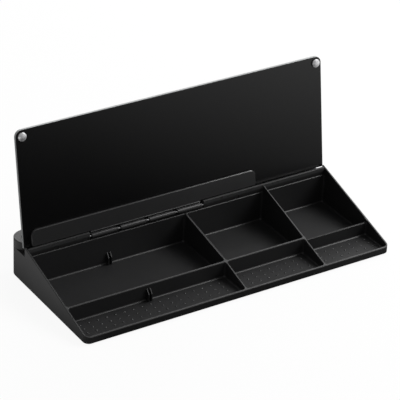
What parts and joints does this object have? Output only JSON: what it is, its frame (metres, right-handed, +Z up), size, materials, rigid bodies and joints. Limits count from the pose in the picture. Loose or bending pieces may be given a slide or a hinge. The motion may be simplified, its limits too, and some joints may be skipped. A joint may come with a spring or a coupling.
{
  "type": "desktop glass whiteboard",
  "caption": "Black desktop whiteboard organiser: wedge tray with compartments, rear device slot and a hinged glass lid standing open.",
  "frame": {"origin": "on the desk, under the middle of the tray's footprint", "axes": "+X to the right seen from the front, +Y to the back, +Z up; the front faces -Y"},
  "size_m": [0.44, 0.193, 0.2016],
  "materials": {
    "tray_plastic": "fine moulded texture, satin black",
    "rail_plastic": "satin black",
    "plate_plastic": "satin black",
    "black_glass": "gloss, painted black behind, ground edges",
    "cap_metal": "bright turned metal",
    "pin_steel": "drawn rod",
    "tape_foam": "matte foam",
    "washer_soft": "matte",
    "foot_rubber": "matte"
  },
  "bodies": {
    "base": {"base_tray": "tray_plastic", "hinge_rail": "rail_plastic", "hinge_pin": "pin_steel", "rubber_feet": "foot_rubber"},
    "lid": {"glass_panel": "black_glass", "lid_hinge_plate": "plate_plastic", "plate_tape": "tape_foam", "corner_post_left": "cap_metal", "corner_post_right": "cap_metal", "corner_screw_left": "cap_metal", "corner_screw_right": "cap_metal", "washers_under": "washer_soft", "washers_top": "washer_soft"}
  },
  "joints": [
    {"name": "lid_hinge", "type": "hinge", "parent": "base", "child": "lid", "pos_m": [0, 0.05006, 0.04779], "axis": [1, 0, 0], "range_deg": [0, 113.4]}
  ]
}
